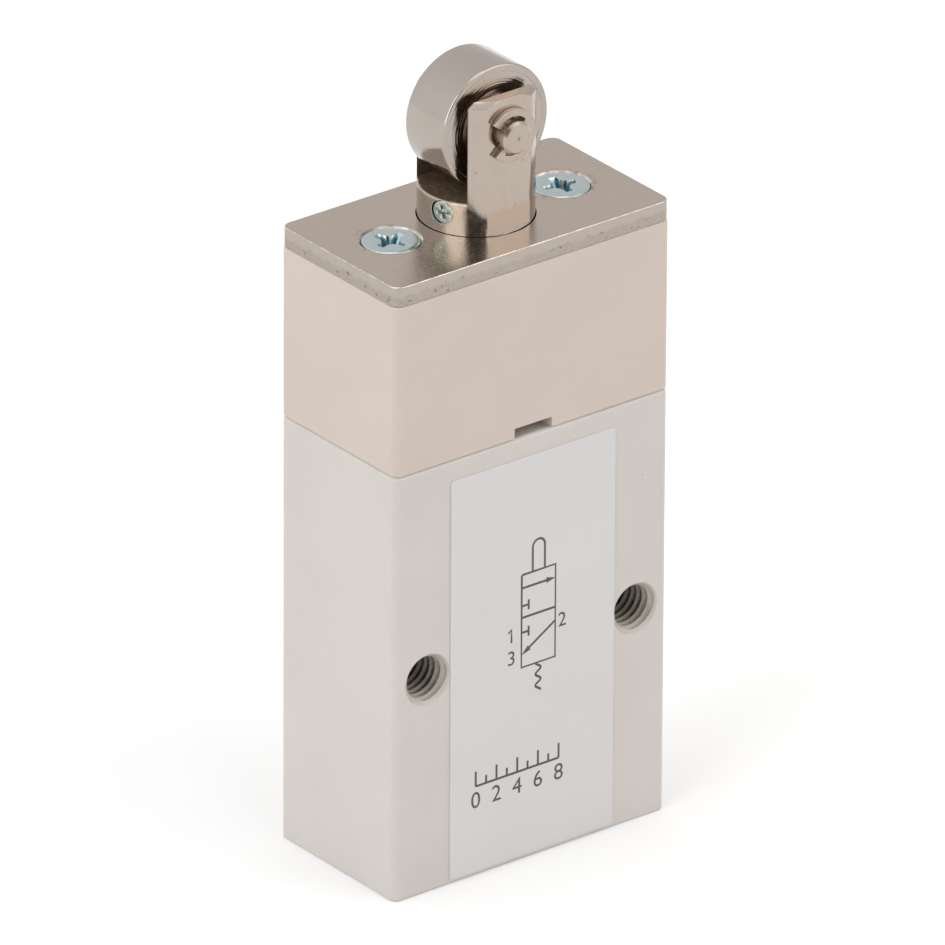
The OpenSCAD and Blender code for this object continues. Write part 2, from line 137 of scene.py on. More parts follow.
class ThreadSettings(bpy.types.PropertyGroup):
    """Sizes of the threads in the mounting holes and the ports."""

    mount_d: length("Mounting thread", "Outside diameter of the mounting thread", 5)
    mount_crest_d: length("Mounting crests", "Diameter inside the mounting thread's crests", 4.13)
    mount_pitch: length("Mounting pitch", "Pitch of the mounting thread", 0.8)
    port_d: length("Port thread", "Outside diameter of the port thread", 9.73)
    port_crest_d: length("Port crests", "Diameter inside the port thread's crests", 8.6)
    port_pitch: length("Port pitch", "Pitch of the port thread", 0.907)
    mouth: length("Mouth", "Depth at which a thread starts behind its face", 0.03)
    root_gap: length("Root gap", "How far a thread's root stands in from the wall of its hole", 0.02)
    # Painted shade in the threads' roots starts past the unshaded mouth and builds up over the further depth
    clean: length("Unshaded mouth", "Depth to which a thread's roots are free of oil", 0.4)
    oily_shade: length("Shade depth", "Further depth over which oil builds up in a thread's roots", 1.8)
    steps: count("Steps", "Steps round one turn of a thread", 56)


class ScrewSettings(bpy.types.PropertyGroup):
    """Sizes of the plate screws and the side screw."""

    head_d: length("Head", "Head diameter of the plate screws", 5.4)
    shank_d: length("Shank", "Shank diameter of the plate screws", 3)
    rim: length("Rim", "Height of the plate screws' straight rim", 0.03)
    crown_w: length("Crown", "Width of the rounded border of the plate screws' heads", 0.36)
    crown_h: length("Crown height", "Height of the rounded border of the plate screws' heads", 0.15)
    lift: length("Lift", "How far the plate screws' heads rise over the CAD heads", 0.11)
    recess_l: length("Recess", "Length of the plate screws' cross recess", 3.4)
    recess_w: length("Recess arms", "Width of the arms of the plate screws' recess", 0.75)
    recess_core: length("Recess core", "Width across the noses between the arms of the recess", 1.75)
    recess_depth: length("Recess depth", "Depth of the plate screws' recess", 1.0)
    edge: length("Edge", "Rounding of the plate screws' edges", 0.05)
    side_head_d: length("Side screw head", "Head diameter of the side screw", 2.18)
    side_shank_d: length("Side screw shank", "Shank diameter of the side screw", 1.4)
    side_edge: length("Side screw edge", "Rounding of the side screw's edges", 0.04)
    cross_l: length("Cross", "Length of the side screw's cross recess", 1.4)
    cross_w: length("Cross slots", "Width of the side screw's cross recess", 0.42)
    cross_depth: length("Cross depth", "Depth of the side screw's cross recess", 0.55)


class RollerSettings(bpy.types.PropertyGroup):
    """Details of the roller, its fork and its clips."""

    edge: length("Edge", "Rounding of the roller's edges", 0.22)
    ring_d: length("Face ring", "Outside diameter of the step in the roller's faces", 10.6)
    ring_depth: length("Face step", "Depth of the step in the roller's faces", 0.02)
    bore_gap: length("Bore gap", "Clearance between the roller and its bush", 0.02)
    steps: count("Steps", "Steps round the roller", 128)
    ear_chamfer: length("Ear chamfer", "Turned chamfer at the top of the fork's ears", 0.5)
    fork_edge: length("Fork edge", "Rounding of the fork's edges", 0.12)
    clip_edge: length("Clip edge", "Rounding of the clips' edges", 0.08)


class SpringSettings(bpy.types.PropertyGroup):
    """Wires and turns of the two springs."""

    plunger_wire: length("Plunger spring wire", "Wire of the plunger spring", 1)
    plunger_turns: count("Plunger spring turns", "Turns of the plunger spring", 6)
    spool_wire: length("Spool spring wire", "Wire of the spool spring", 0.5)
    spool_turns: count("Spool spring turns", "Turns of the spool spring", 11)


class PrintSettings(bpy.types.PropertyGroup):
    """Places and sizes of what is printed on the label."""

    line: length("Line", "Width of the printed lines", 0.24)
    ink: length("Ink", "Height of the ink over the label", 0.012)
    symbol_x: length("Symbol X", "Middle of the valve symbol along X", 0.65)
    symbol_w: length("Symbol width", "Width of the symbol's boxes", 3.9)
    symbol_top: length("Symbol top", "Height of the upper box's upper side", 29.12)
    symbol_mid: length("Symbol middle", "Height of the line between the boxes", 24.77)
    symbol_low: length("Symbol foot", "Height of the lower box's lower side", 19.72)
    push_w: length("Push button width", "Width of the symbol's push button", 1.4)
    push_h: length("Push button height", "Height of the symbol's push button", 3.15)
    arrow: length("Arrows", "Length of the symbol's arrow heads", 1.05)
    digit: length("Digits", "Height of the port numbers", 1.5)
    scale_z: length("Scale", "Height of the pressure scale's line", 9.2)
    scale_w: length("Scale width", "Width of the pressure scale", 9.6)
    scale_x: length("Scale X", "Middle of the pressure scale along X", -1.7, -20)
    scale_digit: length("Scale digits", "Height of the pressure scale's numbers", 1.7)


class FinishSettings(bpy.types.PropertyGroup):
    """Colours of the finishes."""

    coat: colour("Body coat", "Cream coat of the valve body", 0.616, 0.574, 0.54)
    plastic: colour("Head plastic", "Moulded plastic of the head", 0.611, 0.523, 0.463)
    film: colour("Label film", "White film of the label", 0.656, 0.643, 0.641)
    ink: colour("Ink", "Dark ink of the label's print", 0.095, 0.07, 0.06)
    nickel: colour("Nickel", "Bright nickel of the fork", 0.48, 0.41, 0.355)
    foot: colour("Fork foot", "Greyer nickel at the foot of the fork", 0.46, 0.42, 0.385)
    roller: colour("Roller", "Satin nickel of the roller", 0.463, 0.413, 0.372)
    pin: colour("Pin", "Bright nickel of the axle, its washers and its clips", 0.52, 0.445, 0.385)
    plate: colour("Plate", "Satin nickel of the top plate", 0.489, 0.419, 0.359)
    plate_edge: colour("Plate edge", "Stamped edge of the top plate", 0.44, 0.385, 0.34)
    # Painted highlight: the pale colour laid along the top plate's rounded top edge
    painted_edge_highlight: colour("Edge highlight", "Painted highlight along the top plate's rounded top edge", 0.85, 0.82, 0.78)
    stain: colour("Stain", "Brown tint in the plating", 0.40, 0.30, 0.22)
    zinc: colour("Zinc", "Blue zinc plate of the plate screws", 0.49, 0.575, 0.57)
    # Painted shade: the darker blue laid inside the plate screws' recesses
    blue: colour("Recess shade", "Blue zinc darkened by painted shade inside the plate screws' recesses", 0.2, 0.36, 0.41)
    side_zinc: colour("Side screw zinc", "Pale zinc plate of the side screw", 0.55, 0.58, 0.52)
    thread: colour("Bare metal", "Bare cut metal of the threads", 0.52, 0.48, 0.425)
    # Painted shade: the dark brown laid in the threads' roots
    root_shade: colour("Root shade", "Dark oil in the threads", 0.09, 0.075, 0.06)
    # Painted shade: the oily brown laid on the walls and floor of the fork's slot
    oil_shade: colour("Slot shade", "Brown oil in the fork's slot", 0.11, 0.074, 0.044)
    phosphate: colour("Phosphate", "Dark finish of the plunger's core and the plug's clip", 0.05, 0.045, 0.04)
    wire: colour("Wire", "Drawn wire of the springs", 0.40, 0.40, 0.39)
    bronze: colour("Bronze", "Sintered bronze of the bush", 0.42, 0.25, 0.11)
    brass: colour("Brass", "Turned brass of the plug", 0.62, 0.43, 0.16)
    alloy: colour("Alloy", "Turned alloy of the spool", 0.60, 0.61, 0.62)
    seal: colour("Seal rubber", "Black rubber of the seal rings", 0.018, 0.018, 0.017)


class StageSettings(bpy.types.PropertyGroup):
    """Camera, light and floor."""

    azimuth: angle("Azimuth", "Turn of the camera round the valve", -38.036)
    elevation: angle("Elevation", "Height of the camera over the horizon", 26.021)
    roll: angle("Roll", "Roll of the camera", 0.3)
    distance: length("Distance", "Distance of the camera from its target", 1748.76)
    target_z: length("Target", "Height of the camera's target", 31)
    slide: length("Slide", "Sideways offset of the camera", -0.1674, -20)
    rise: length("Rise", "Upward offset of the camera", 4.2728)
    lens: level("Lens", "Focal length in mm", 730.2)
    sky_left: colour("Left sky", "Light from the left", 0.967, 0.992, 0.995)
    sky_right: colour("Right sky", "Light from the right", 0.658, 0.634, 0.63)
    sky_level: level("Sky level", "Strength of the light all round", 1.165)
    sky_front: level("Front gain", "Share by which the front is brighter", 0.1)
    left_box: level("Left softbox", "Strength of the left softbox", 2.7)
    right_box: level("Right softbox", "Strength of the right softbox", 2.1)
    left_box_at: angle("Left softbox place", "Direction of the left softbox", -80)
    right_box_at: angle("Right softbox place", "Direction of the right softbox", 36)
    box_half: angle("Softbox half width", "Half the width of a softbox", 20)
    dark_half: angle("Dark half width", "Half the width of the dark room behind the camera", 20)
    low_edge: angle("Lower edges", "Height at which the softboxes and the dark room start", 4)
    high_edge: angle("Upper edges", "Height at which the softboxes and the dark room end", 50)
    top_box: level("Top softbox", "Strength of the softbox overhead", 2.8)
    top_edge: angle("Top softbox edge", "Height at which the softbox overhead starts", 76)
    floor: colour("Floor", "Colour of the floor", 0.72, 0.72, 0.72)
    floor_glow: level("Floor glow", "What the floor adds to be white", 0.25)


# Modelling helpers


def edit_mode():
    bpy.ops.object.mode_set(mode="EDIT")


def object_mode():
    bpy.ops.object.mode_set(mode="OBJECT")


def select_mesh(action="SELECT"):
    bpy.ops.mesh.select_all(action=action)


def drop_selection():
    """Goes to object mode with nothing selected."""
    if bpy.context.mode != "OBJECT":
        object_mode()
    bpy.ops.object.select_all(action="DESELECT")


def pick(piece):
    """Makes one piece the only selected and active one."""
    drop_selection()
    piece.select_set(True)
    bpy.context.view_layer.objects.active = piece


def linked(name, data):
    """A new object in the scene, picked."""
    data.name = name
    piece = bpy.data.objects.new(name, data)
    bpy.context.scene.collection.objects.link(piece)
    pick(piece)
    return piece


def chain(name, points):
    """Draws a chain of edges through points from a primitive's merged corner, and stays in edit mode."""
    drop_selection()
    bpy.ops.mesh.primitive_plane_add(size=MM)
    piece = bpy.context.object
    piece.name = piece.data.name = name
    edit_mode()
    select_mesh()
    bpy.ops.mesh.merge(type="CENTER")
    bpy.ops.transform.translate(value=points[0])
    for start, end in zip(points, points[1:]):
        step = Vector(end) - Vector(start)
        bpy.ops.mesh.extrude_region_move(TRANSFORM_OT_translate={"value": step})
    return piece


def close_mesh():
    """Merges doubles, turns all faces outwards and leaves edit mode."""
    select_mesh()
    bpy.ops.mesh.remove_doubles(threshold=MERGE)
    bpy.ops.mesh.normals_make_consistent(inside=False)
    object_mode()


def turned(name, profile, steps):
    """Turns a profile of (radius, height) points round Z, as on a lathe."""
    piece = chain(name, [(radius, 0, height) for radius, height in profile])
    select_mesh()
    bpy.ops.mesh.spin(steps=steps, angle=tau, center=(0, 0, 0), axis=(0, 0, 1))
    close_mesh()
    return piece


def prism(name, outline, low, high, foot=1.0):
    """Raises an outline in XY from low to high; foot is the scale of its lower end."""
    piece = chain(name, [(x, y, high) for x, y in (*outline, outline[0])])
    select_mesh()
    bpy.ops.mesh.edge_face_add()
    bpy.ops.mesh.extrude_region_move(TRANSFORM_OT_translate={"value": (0, 0, low - high)})
    bpy.ops.transform.resize(value=(foot, foot, 1))
    close_mesh()
    return piece


def arc(centre, radii, start, end, steps):
    """Points of a round or oval edge, from one angle in degrees to another."""
    turns = [radians(start + (end - start) * n / steps) for n in range(steps + 1)]
    return [(centre[0] + radii[0] * cos(t), centre[1] + radii[1] * sin(t)) for t in turns]


def modify(piece, kind, **settings):
    """Adds a modifier to a piece and applies it."""
    pick(piece)
    made = piece.modifiers.new(kind.title(), kind)
    for key, value in settings.items():
        setattr(made, key, value)
    bpy.ops.object.modifier_apply(modifier=made.name)


def soften(piece, width):
    """Rounds a piece's sharp edges."""
    modify(piece, "BEVEL", width=width, segments=2, limit_method="ANGLE", angle_limit=radians(40))


def cut(piece, cutter):
    """Cuts one piece out of another and removes the cutter."""
    modify(piece, "BOOLEAN", operation="DIFFERENCE", solver="EXACT", object=cutter)
    bpy.data.objects.remove(cutter)


def shift(*values):
    """Matrix of a move."""
    return Matrix.Translation(values)


def swing(degrees, axis):
    """Matrix of a turn round an axis."""
    return Matrix.Rotation(radians(degrees), 4, axis)


def place(piece, matrix):
    """Moves a piece into place and leaves its object at the origin."""
    pick(piece)
    piece.matrix_world = matrix
    bpy.ops.object.transform_apply(location=True, rotation=True, scale=True)


def to_mesh(piece):
    """Makes a curve or a text a mesh."""
    pick(piece)
    bpy.ops.object.convert(target="MESH")
    return bpy.context.object


def merge_pieces(pieces):
    """Joins pieces into the first one."""
    pick(pieces[0])
    for piece in pieces[1:]:
        piece.select_set(True)
    bpy.ops.object.join()
    return pieces[0]


def coat(piece, name):
    """Gives a piece its finish."""
    piece.data.materials.clear()
    piece.data.materials.append(finish(name))


def dress(**names):
    """Gives CAD nodes their finishes."""
    for node, name in names.items():
        coat(frame["nodes"][node], name)


def hand_over(piece, body, slot, name, *stands_for, smooth=30, even=False):
    """Gives a piece its finish, its shading and its body; even keeps the flats between bevels flat."""
    pick(piece)
    coat(piece, name)
    bpy.ops.object.shade_smooth_by_angle(angle=radians(smooth))
    if even:
        modify(piece, "WEIGHTED_NORMAL", keep_sharp=True)
    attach(piece, body)
    if stands_for:
        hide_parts(*stands_for)


def softened(node, name, width, cuts=(), spared=None, cutter=None):
    """Copies a CAD node and rounds its sharp edges, less in a spared (point, reach).

    A cutter is taken off first, and cuts of (point, normal) part long facets.
    """
    drop_selection()
    piece = linked(name, frame["nodes"][node].data.copy())
    edit_mode()
    select_mesh()
    bpy.ops.mesh.remove_doubles(threshold=1e-6)
    bpy.ops.mesh.customdata_custom_splitnormals_clear()
    bpy.ops.mesh.dissolve_limited(angle_limit=radians(0.5))
    object_mode()
    if cutter:
        cut(piece, cutter)
    edit_mode()
    for point, normal in cuts:
        select_mesh()
        bpy.ops.mesh.bisect(plane_co=point, plane_no=normal)
    bpy.ops.mesh.select_mode(type="EDGE")
    select_mesh("DESELECT")
    bpy.ops.mesh.edges_select_sharp(sharpness=radians(32))
    object_mode()
    bpy.context.tool_settings.mesh_select_mode = (True, False, False)
    weights = piece.data.attributes.new("bevel_weight_edge", "FLOAT", "EDGE").data
    for edge in (e for e in piece.data.edges if e.select):
        halfway = sum((piece.data.vertices[v].co for v in edge.vertices), Vector()) / 2
        near = spared and (halfway - spared[0]).length < spared[1]
        weights[edge.index].value = 0.2 if near else 1
    modify(piece, "BEVEL", width=width, segments=2, limit_method="WEIGHT")
    return piece


# Shader helpers


def join(tree, value, socket):
    """Feeds a socket with a field, another socket or a plain value."""
    if isinstance(value, Field):
        value = value.socket
    if isinstance(value, bpy.types.NodeSocket):
        tree.links.new(value, socket)
    else:
        socket.default_value = value


def put(tree, kind, inputs=(), **settings):
    """Adds a shader node, fed by name or number, and gives its outputs."""
    made = tree.nodes.new("ShaderNode" + kind)
    for key, value in settings.items():
        setattr(made, key, value)
    for key, value in dict(inputs).items():
        join(tree, value, made.inputs[key])
    return made.outputs


def field(tree, kind, inputs=(), output=0, **settings):
    """One output of a new shader node."""
    return Field(tree, put(tree, kind, inputs, **settings)[output])


def reckon(tree, operation, *values):
    """A Math node's result."""
    return field(tree, "Math", enumerate(values), operation=operation)


class Field:
    """A value or colour that changes over a surface; sums and mixes of it add nodes to its tree."""

    def __init__(self, tree, socket):
        self.tree = tree
        self.socket = socket

    def __add__(self, other):
        return reckon(self.tree, "ADD", self, other)

    def __sub__(self, other):
        return reckon(self.tree, "SUBTRACT", self, other)

    def __rsub__(self, other):
        return reckon(self.tree, "SUBTRACT", other, self)

    def __mul__(self, other):
        return reckon(self.tree, "MULTIPLY", self, other)

    def __truediv__(self, other):
        return reckon(self.tree, "DIVIDE", self, other)

    def __abs__(self):
        return reckon(self.tree, "ABSOLUTE", self)

    def most(self, other):
        """The larger of two values."""
        return reckon(self.tree, "MAXIMUM", self, other)

    def span(self, low, high, to_low=0.0, to_high=1.0, smooth=False):
        """Maps the value from one range to another, clamped."""
        kind = "SMOOTHSTEP" if smooth else "LINEAR"
        inputs = enumerate((self, low, high, to_low, to_high))
        return field(self.tree, "MapRange", inputs, interpolation_type=kind)

    def tint(self, first, second):
        """Mixes two colours by this value."""
        return field(self.tree, "Mix", {0: self, 6: first, 7: second}, 2, data_type="RGBA")


def rgba(values, gain=1.0):
    """A colour with its alpha."""
    return (*(v * gain for v in values), 1)


def spot(tree):
    """Object coordinates."""
    return field(tree, "TexCoord", output="Object")


def facing(tree):
    """Normal of the face."""
    return field(tree, "NewGeometry", output="True Normal")


def axes(tree, whole):
    """The three parts of a vector."""
    return [Field(tree, part) for part in put(tree, "SeparateXYZ", {0: whole})]


def vector(tree, *parts):
    """A vector of up to three parts."""
    return field(tree, "CombineXYZ", enumerate(parts))


def aim(tree, operation, *values):
    """A Vector Math node's result, which is a number for a length or a dot product."""
    output = "Value" if operation in ("LENGTH", "DOT_PRODUCT") else "Vector"
    return field(tree, "VectorMath", enumerate(values), output, operation=operation)


def stretched(tree, *factors):
    """Object coordinates times a factor along each axis."""
    return aim(tree, "MULTIPLY", spot(tree), factors)


def shrunk(tree, size):
    """Object coordinates over a size in metres."""
    return aim(tree, "DIVIDE", spot(tree), vector(tree, size, size, size))


def noise(tree, where, size_mm, detail, rough=0.5):
    """Noise whose features are about size_mm wide."""
    inputs = {"Vector": where, "Scale": 1 / (size_mm * MM), "Detail": detail, "Roughness": rough}
    return field(tree, "TexNoise", inputs)


def cloud(tree, size, detail):
    """Noise whose features follow a size in metres."""
    return field(tree, "TexNoise", {"Vector": shrunk(tree, size), "Scale": 1, "Detail": detail})


def dots(tree, size, scale, inner, outer, rare):
    """Soft round dots in the few cells whose draw is over rare."""
    cells = put(tree, "TexVoronoi", {"Vector": shrunk(tree, size), "Scale": scale})
    drawn = field(tree, "SeparateColor", {0: cells["Color"]})
    near = Field(tree, cells["Distance"]).span(inner, outer, 1, 0)
    return near * reckon(tree, "GREATER_THAN", drawn, rare)


def from_screw(tree):
    """Distance from the nearest plate screw's axis."""
    x, y, z = axes(tree, spot(tree))
    return aim(tree, "LENGTH", vector(tree, abs(x) - SCREW_X, y))


def new_group(name, inputs, outputs):
    """An empty shader node group: its tree, its inputs as fields and its output sockets."""
    tree = bpy.data.node_groups.new(name, "ShaderNodeTree")
    for label, default in inputs.items():
        kind = "NodeSocketVector" if isinstance(default, tuple) else "NodeSocketFloat"
        tree.interface.new_socket(label, in_out="INPUT", socket_type=kind).default_value = default
    for label in outputs:
        tree.interface.new_socket(label, in_out="OUTPUT", socket_type="NodeSocketFloat")
    given = tree.nodes.new("NodeGroupInput").outputs
    out = tree.nodes.new("NodeGroupOutput").inputs
    return tree, {label: Field(tree, given[label]) for label in inputs}, out


def grain_group():
    """Fine grain, broad tone and rare dark specks on coats, plastics and films."""
    sizes = {"Grain Size": 0.25 * MM, "Tone Size": 9 * MM, "Speck Size": 1.6 * MM}
    tree, given, out = new_group("Surface grain", sizes, ("Height", "Tone", "Specks"))
    join(tree, cloud(tree, given["Grain Size"], 3), out["Height"])
    join(tree, cloud(tree, given["Tone Size"], 4), out["Tone"])
    join(tree, dots(tree, given["Speck Size"], 1, 0.03, 0.075, 0.93), out["Specks"])
    return tree


def turning_group():
    """Concentric marks of a lathe round an axis through a centre."""
    inputs = {"Centre": (0, 0, 0), "Axis": (0, 0, 1), "Pitch": 0.1 * MM, "Face": 0.0}
    tree, given, out = new_group("Turning marks", inputs, ("Height", "Streak"))
    arm = aim(tree, "SUBTRACT", spot(tree), given["Centre"])
    along = aim(tree, "DOT_PRODUCT", arm, given["Axis"])
    lifted = aim(tree, "MULTIPLY", given["Axis"], vector(tree, along, along, along))
    radius = aim(tree, "LENGTH", aim(tree, "SUBTRACT", arm, lifted))
    both = radius * given["Face"] + along * (1.0 - given["Face"])
    for label, pitches, detail in (("Height", 1, 2), ("Streak", 6, 1)):
        rings = {"W": both / (given["Pitch"] * pitches), "Scale": 1, "Detail": detail}
        join(tree, field(tree, "TexNoise", rings, noise_dimensions="1D"), out[label])
    return tree


def plating_group():
    """Stains, small pits and dull patches of a plated surface."""
    sizes = {"Stain Size": 4 * MM, "Pit Size": 0.7 * MM}
    tree, given, out = new_group("Plating", sizes, ("Stain", "Pits", "Dull", "Height"))
    fine = cloud(tree, given["Pit Size"], 4)
    join(tree, cloud(tree, given["Stain Size"], 5).span(0.46, 0.72), out["Stain"])
    join(tree, dots(tree, given["Pit Size"], 0.6, 0.12, 0.26, 0.86), out["Pits"])
    join(tree, fine.span(*MID), out["Dull"])
    join(tree, fine, out["Height"])
    return tree


# Finishes


class Finishes:
    """Makes each material once, from the scene's colours and the shared node groups."""

    def __init__(self, colours):
        self.colours = colours
        self.groups = {"grain": grain_group(), "turning": turning_group(), "plating": plating_group()}
        self.made = {}

    def start(self, name, roughness, metallic=0.0):
        """A new material and its tree."""
        material = bpy.data.materials.new(name)
        material.use_nodes = True
        shader = material.node_tree.nodes["Principled BSDF"].inputs
        shader["Roughness"].default_value = roughness
        shader["Metallic"].default_value = metallic
        return material, material.node_tree

    def use(self, tree, group, **inputs):
        """Places a shared node group in a material."""
        made = tree.nodes.new("ShaderNodeGroup")
        made.node_tree = self.groups[group]
        for key, value in inputs.items():
            join(tree, value, made.inputs[key.replace("_", " ").title()])
        return {socket.name: Field(tree, socket) for socket in made.outputs}

    def end(self, material, height, depth_mm, **fields):
        """Feeds the shader and raises the surface by a height of up to depth_mm."""
        tree = material.node_tree
        shader = tree.nodes["Principled BSDF"].inputs
        for key, value in fields.items():
            join(tree, value, shader[key.replace("_", " ").title()])
        relief = {"Height": height, "Distance": depth_mm * MM, "Strength": 1.0}
        join(tree, field(tree, "Bump", relief), shader["Normal"])
        return material

    def smooth_coat(self, name, colours, roughness, grain_mm, depth_mm, tone=0.05, specks=0.5):
        """A coat, plastic or film with fine grain, broad tone and a few specks."""
        material, tree = self.start(name, roughness)
        grain = self.use(tree, "grain", grain_size=grain_mm * MM)
        base = grain["Tone"].span(*MID).tint(rgba(colours, 1 - tone / 2), rgba(colours, 1 + tone / 2))
        base = (grain["Specks"] * specks).tint(base, rgba(colours, 0.35))
        rough = grain["Height"].span(*MID, roughness - 0.05, roughness + 0.05)
        return self.end(material, grain["Height"], depth_mm, base_color=base, roughness=rough)

    def turned_metal(self, name, colours, roughness, around, pitch_mm, depth_mm, stain=0.25, barrel=0.3):
        """Turned metal: faint stains, dull patches and lathe marks that are weaker on the barrel."""
        material, tree = self.start(name, roughness, 1.0)
        centre, axis = around
        face = abs(aim(tree, "DOT_PRODUCT", facing(tree), axis)).span(0.6, 0.8)
        marks = self.use(tree, "turning", centre=centre, axis=axis, pitch=pitch_mm * MM, face=face)
        plating = self.use(tree, "plating")
        gain = face.span(0, 1, barrel, 1)
        base = (marks["Streak"].span(*MID) * gain).tint(rgba(colours), rgba(colours, 0.9))
        base = (plating["Stain"] * stain).tint(base, rgba(self.colours.stain))
        rough = plating["Dull"] * 0.08 + roughness
        return self.end(material, marks["Height"] * gain, depth_mm, base_color=base, roughness=rough)

    def milled_metal(self, name, colours, roughness):
        """Bright plated metal with hazy patches and a few specks; its slot holds brown oil with pale dust."""
        material, tree = self.start(name, roughness, 1.0)
        x, y, z = axes(tree, spot(tree))
        stain, oil_shade = self.colours.stain, self.colours.oil_shade
        plating = self.use(tree, "plating", stain_size=3 * MM, pit_size=0.5 * MM)
        lines = noise(tree, stretched(tree, 1, 1, 0.03), 0.3, 3)
        base = lines.span(*MID).tint(rgba(colours, 0.98), rgba(colours, 1.02))
        base = (plating["Stain"] * 0.14).tint(base, rgba(stain))
        base = (plating["Pits"] * 0.35).tint(base, rgba(stain, 0.6))
        foot = z.span(PLATE_TOP + 3 * MM, PLATE_TOP + 1 * MM, 0, 0.8)
        base = foot.tint(base, rgba(self.colours.foot))
        # Painted shade: the slot's inner walls and floor are darkened to an oily brown, lightened in places
        # by pale dust
        off = abs(y)
        walls = off.span(SLOT_HALF + 0.03 * MM, SLOT_HALF - 0.03 * MM)
        walls = walls * z.span(SLOT_FLOOR - 0.05 * MM, SLOT_FLOOR + 0.05 * MM)
        floor = off.span(SLOT_HALF - 0.05 * MM, SLOT_HALF - 0.15 * MM)
        floor = floor * abs(z - SLOT_FLOOR).span(0.06 * MM, 0.02 * MM)
        oily_shade = walls.most(floor)
        dust = noise(tree, stretched(tree, 1, 0.5, 1), 0.3, 4, 0.6).span(0.48, 0.7)
        base = oily_shade.tint(base, dust.tint(rgba(oil_shade, 0.85), rgba(oil_shade, 2.1)))
        rough = plating["Dull"] * 0.1 + (roughness - 0.03) + oily_shade * 0.3
        metal = 1.0 - oily_shade * 0.9
        return self.end(material, plating["Height"], 0.0006, base_color=base, roughness=rough, metallic=metal)

    def plated_metal(self, name, colours, roughness, depth_mm, inside):
        """Plated screws: fine grain, dull patches, a trace of stain and a deeper tone in the recesses."""
        material, tree = self.start(name, roughness, 1.0)
        plating = self.use(tree, "plating", stain_size=0.8 * MM, pit_size=0.16 * MM)
        base = plating["Dull"].tint(rgba(colours, 0.94), rgba(colours, 1.06))
        base = (plating["Stain"] * 0.25).tint(base, rgba(colours, 0.7))
        # Painted shade: the zinc below the top and within the recess is darkened towards the recess colour
        sunk = axes(tree, spot(tree))[2].span(PLATE_TOP - 0.12 * MM, PLATE_TOP - 0.5 * MM)
        painted_recess_shade = sunk * from_screw(tree).span(2.0 * MM, 1.9 * MM)
        base = painted_recess_shade.tint(base, rgba(inside))
        rough = plating["Dull"].span(0, 1, roughness - 0.04, roughness + 0.08)
        return self.end(material, plating["Height"], depth_mm, base_color=base, roughness=rough)

    def thread_metal(self, name, colours):
        """Cut threads by their root attribute: grey crests, dark oil in the roots, body coat at the ends."""
        material, tree = self.start(name, 0.5)
        root = field(tree, "Attribute", output="Fac", attribute_name=ROOT)
        plating = self.use(tree, "plating", stain_size=1.2 * MM, pit_size=0.2 * MM)
        patchy = root + plating["Dull"].span(0, 1, -0.12, 0.12)
        base = (plating["Stain"] * 0.3).tint(rgba(colours), rgba(self.colours.stain))
        # Painted shade: the roots darken towards a dark brown
        base = patchy.span(0.2, 0.85).tint(base, rgba(self.colours.root_shade))
        coated = root.span(-0.1, -0.6)
        base = coated.tint(base, rgba(self.colours.coat))
        rough = plating["Dull"].span(0, 1, 0.44, 0.56)
        metal = coated.span(0, 1, 0.3, 0)
        return self.end(material, plating["Height"], 0.004, base_color=base, roughness=rough, metallic=metal)

    def stamped_plate(self, name, colours):
        """Satin nickel with a speckled face, wear round the screws and an edge torn and pitted below."""
        material, tree = self.start(name, 0.24, 1.0)
        where = spot(tree)
        height, upright = axes(tree, where)[2], axes(tree, facing(tree))[2]
        stain, edge = self.colours.stain, self.colours.plate_edge
        plating = self.use(tree, "plating", stain_size=6 * MM, pit_size=0.45 * MM)
        side = abs(upright).span(0.75, 0.4)
        wobble = noise(tree, where, 1.2, 3).span(*MID, -0.25 * MM, 0.25 * MM)
        torn = side * (height + wobble).span(PLATE_LOW + 1.2 * MM, PLATE_LOW + 0.9 * MM)
        grains = noise(tree, where, 0.16, 3, 0.6).span(0.35, 0.65)
        base = (plating["Stain"] * 0.3).tint(rgba(colours), rgba(colours, 0.86))
        base = grains.tint(base, rgba(colours, 1.07))
        edged = torn.tint(rgba(edge, 1.06), rgba(edge, 0.86))
        edged = (grains * 0.7).tint(edged, rgba(edge, 1.12))
        base = side.tint(base, edged)
        # Painted highlight: the rounded top edge is lightened towards a pale colour, broken up by noise
        brow = upright.span(0.2, 0.4) * upright.span(0.98, 0.9)
        highlight_breakup = noise(tree, where, 0.9, 3).span(0.4, 0.6, 0.15, 0.8)
        base = (brow * highlight_breakup).tint(base, rgba(self.colours.painted_edge_highlight))
        ring = from_screw(tree).span(3.0 * MM, 3.75 * MM, 1, 0)
        scuffed = noise(tree, where, 0.55, 4, 0.65).span(0.5, 0.62)
        base = (ring * scuffed * (1.0 - side) * 0.55).tint(base, rgba(stain, 0.5))
        dashes = noise(tree, stretched(tree, 0.5, 0.5, 1.6), 0.5, 3).span(0.68, 0.72)
        pits = plating["Pits"].most(dashes) * torn
        base = (pits * 0.6).tint(base, rgba(stain, 0.35))
        rough = plating["Dull"] * 0.08 + 0.21 + side * 0.16
        relief = grains * (torn * 0.4 + 0.06)
        return self.end(material, relief - pits, 0.03, base_color=base, roughness=rough)

    def dark_metal(self, name, colours, roughness):
        """A dull dark finish on steel."""
        material, tree = self.start(name, roughness, 0.6)
        plating = self.use(tree, "plating", stain_size=2 * MM)
        base = plating["Stain"].tint(rgba(colours), rgba(colours, 1.6))
        return self.end(material, plating["Height"], 0.01, base_color=base)

